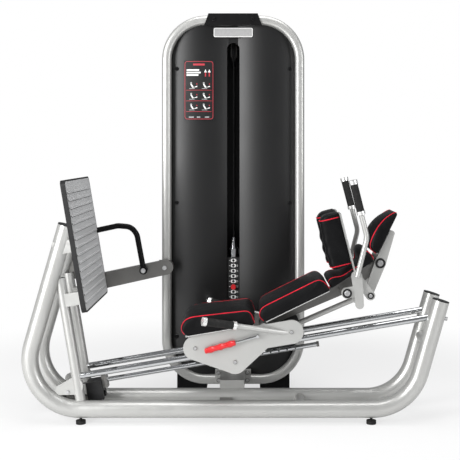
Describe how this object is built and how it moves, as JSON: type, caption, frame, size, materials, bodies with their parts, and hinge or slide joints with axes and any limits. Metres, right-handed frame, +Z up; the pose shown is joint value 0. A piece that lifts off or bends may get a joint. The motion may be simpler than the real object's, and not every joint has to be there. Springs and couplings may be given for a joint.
{
  "type": "leg press machine",
  "caption": "Reclining leg press: sloping chrome rails carry a padded seat carriage towards a ribbed foot plate, cable linked to a shrouded selector weight tower.",
  "frame": {"origin": "on the floor under the middle of the machine's bounding box", "axes": "+X from the foot plate to the head rest, +Y from the access side to the weight tower, +Z up"},
  "size_m": [2.0094, 0.9704, 1.995],
  "materials": {
    "silver_frame": "satin powder coat",
    "grey_metal": "satin powder coat",
    "black_metal": "satin powder coat",
    "black_panel": "satin moulded",
    "black_plastic": "matt moulded",
    "rubber": "matt",
    "chrome": "polished",
    "ribbed_aluminium": "ribbed, satin",
    "polished_aluminium": "polished",
    "steel_fastener": "zinc plated",
    "weight_iron": "black painted",
    "cable": "nylon coated steel",
    "pulley_nylon": "moulded",
    "red_plastic": "moulded",
    "black_vinyl": "grained vinyl"
  },
  "bodies": {
    "frame": {"base_tubes": "silver_frame", "tube_end_caps": "black_plastic", "base_cross_members": "silver_frame", "levelling_feet": "rubber", "foot_posts": "silver_frame", "guide_rails": "chrome", "stop_block": "black_plastic", "foot_plate": "ribbed_aluminium", "foot_plate_trim": "black_plastic", "foot_plate_brackets": "silver_frame", "side_beam": "grey_metal", "handrail": "black_metal", "tower_ring": "silver_frame", "tower_shroud": "black_panel", "front_panels": "black_panel", "rear_panel": "black_panel", "tower_top_plate": "black_metal", "tower_base": "black_metal", "link_bracket": "silver_frame", "front_placards": "black_plastic", "frame_fasteners": "steel_fastener", "weight_guide_rods": "chrome", "weight_stack": "weight_iron", "stack_cushions": "rubber", "pulley_brackets": "grey_metal", "fixed_cable": "cable", "foot_cable_run": "cable", "stack_cable_run": "cable"},
    "foot_pulley": {"foot_pulley": "pulley_nylon"},
    "link_pulley": {"link_pulley": "pulley_nylon"},
    "floor_pulley": {"floor_pulley": "pulley_nylon"},
    "top_pulley": {"top_pulley": "pulley_nylon"},
    "press_bar": {"press_bar": "chrome", "bar_end_fittings": "grey_metal"},
    "picked_stack": {"picked_weights": "weight_iron", "selector_stem": "chrome"},
    "selector_pin": {"selector_pin": "red_plastic"},
    "carriage": {"side_plates": "silver_frame", "carriage_frame": "silver_frame", "seat_pad": "black_vinyl", "seat_handles": "silver_frame", "seat_grips": "rubber", "seat_collars": "polished_aluminium"},
    "lock_lever": {"lock_lever": "chrome", "lever_grip": "red_plastic"},
    "front_rollers": {"front_rollers": "pulley_nylon"},
    "rear_rollers": {"rear_rollers": "pulley_nylon"},
    "lower_rollers": {"lower_rollers": "pulley_nylon"},
    "back_rest": {"back_beam": "grey_metal", "back_pad": "black_vinyl", "upper_back_pad": "black_vinyl"},
    "parallel_rod": {"parallel_rod": "silver_frame"},
    "shoulder_rest": {"shoulder_frame": "silver_frame", "shoulder_pads": "black_vinyl", "upper_handles": "silver_frame", "upper_grips": "rubber", "upper_collars": "polished_aluminium"},
    "head_rest": {"head_rest_bar": "silver_frame", "head_rest_pad": "black_vinyl"},
    "head_rest_link": {"head_rest_link": "silver_frame"}
  },
  "joints": [
    {"name": "press_slide", "type": "slide", "parent": "frame", "child": "press_bar", "axis": [0.9861, 0, 0.1659], "range_m": [0, 0.42], "deforming": ["foot_cable_run"]},
    {"name": "seat_adjust", "type": "slide", "parent": "press_bar", "child": "carriage", "axis": [0.9861, 0, 0.1659], "range_m": [-0.2, 0.12]},
    {"name": "stack_lift", "type": "slide", "parent": "frame", "child": "picked_stack", "axis": [0, 0, 1], "range_m": [0, 0.42], "deforming": ["stack_cable_run"]},
    {"name": "pin_pull", "type": "slide", "parent": "picked_stack", "child": "selector_pin", "axis": [0, -1, 0], "range_m": [0, 0.075]},
    {"name": "foot_pulley_spin", "type": "hinge", "parent": "frame", "child": "foot_pulley", "pos_m": [-0.79201, -0.18975, 0.1032], "axis": [0, 1, 0], "range_deg": [-10, 522]},
    {"name": "link_pulley_spin", "type": "hinge", "parent": "frame", "child": "link_pulley", "pos_m": [-0.04979, -0.16175, 0.0562], "axis": [0, 0, 1], "range_deg": [-869.4, 10]},
    {"name": "floor_pulley_spin", "type": "hinge", "parent": "frame", "child": "floor_pulley", "pos_m": [-0.02179, 0.37225, 0.1032], "axis": [1, 0, 0], "range_deg": [-522, 10]},
    {"name": "top_pulley_spin", "type": "hinge", "parent": "frame", "child": "top_pulley", "pos_m": [-0.02179, 0.34375, 1.808], "axis": [1, 0, 0], "range_deg": [-328.7, 10]},
    {"name": "front_roller_spin", "type": "hinge", "parent": "carriage", "child": "front_rollers", "pos_m": [-0.18578, -0.18975, 0.36339], "axis": [0, 1, 0], "range_deg": [-10, 703.5]},
    {"name": "rear_roller_spin", "type": "hinge", "parent": "carriage", "child": "rear_rollers", "pos_m": [0.26193, -0.18975, 0.43871], "axis": [0, 1, 0], "range_deg": [-10, 703.5]},
    {"name": "lower_roller_spin", "type": "hinge", "parent": "carriage", "child": "lower_rollers", "pos_m": [-0.00057, -0.18975, 0.29923], "axis": [0, 1, 0], "range_deg": [-848.5, 10]},
    {"name": "lever_pull", "type": "hinge", "parent": "carriage", "child": "lock_lever", "pos_m": [0.10435, -0.18975, 0.42305], "axis": [0, -1, 0], "range_deg": [0, 18], "stiffness_Nm_per_rad": 2, "springref_deg": -28.65},
    {"name": "recline", "type": "hinge", "parent": "carriage", "child": "back_rest", "pos_m": [0.13301, -0.18975, 0.45758], "axis": [0, -1, 0], "range_deg": [-6, 6]},
    {"name": "rod_swing", "type": "hinge", "parent": "carriage", "child": "parallel_rod", "pos_m": [0.19201, -0.18975, 0.40358], "axis": [0, -1, 0], "range_deg": [-9, 9]},
    {"name": "shoulder_level", "type": "hinge", "parent": "back_rest", "child": "shoulder_rest", "pos_m": [0.51784, -0.18975, 0.62331], "axis": [0, -1, 0], "range_deg": [-9, 9]},
    {"name": "head_tilt", "type": "hinge", "parent": "back_rest", "child": "head_rest", "pos_m": [0.68384, -0.18975, 0.75031], "axis": [0, -1, 0], "range_deg": [-14, 14]},
    {"name": "link_swing", "type": "hinge", "parent": "shoulder_rest", "child": "head_rest_link", "pos_m": [0.56284, -0.18975, 0.70032], "axis": [0, -1, 0], "range_deg": [-24, 24]}
  ],
  "couplings": [
    {"joint": "stack_lift", "follows": "press_slide", "ratio": 1},
    {"joint": "foot_pulley_spin", "follows": "press_slide", "rad_per_m": 21.277},
    {"joint": "link_pulley_spin", "follows": "press_slide", "rad_per_m": -35.714},
    {"joint": "floor_pulley_spin", "follows": "press_slide", "rad_per_m": -21.277},
    {"joint": "top_pulley_spin", "follows": "press_slide", "rad_per_m": -13.245},
    {"joint": "front_roller_spin", "follows": "press_slide", "rad_per_m": 28.818},
    {"joint": "rear_roller_spin", "follows": "press_slide", "rad_per_m": 28.818},
    {"joint": "lower_roller_spin", "follows": "press_slide", "rad_per_m": -34.843},
    {"joint": "rod_swing", "follows": "recline", "ratio": 1},
    {"joint": "shoulder_level", "follows": "recline", "ratio": -1},
    {"joint": "head_tilt", "follows": "recline", "ratio": 0.63783},
    {"joint": "link_swing", "follows": "recline", "ratio": 1.1526}
  ]
}
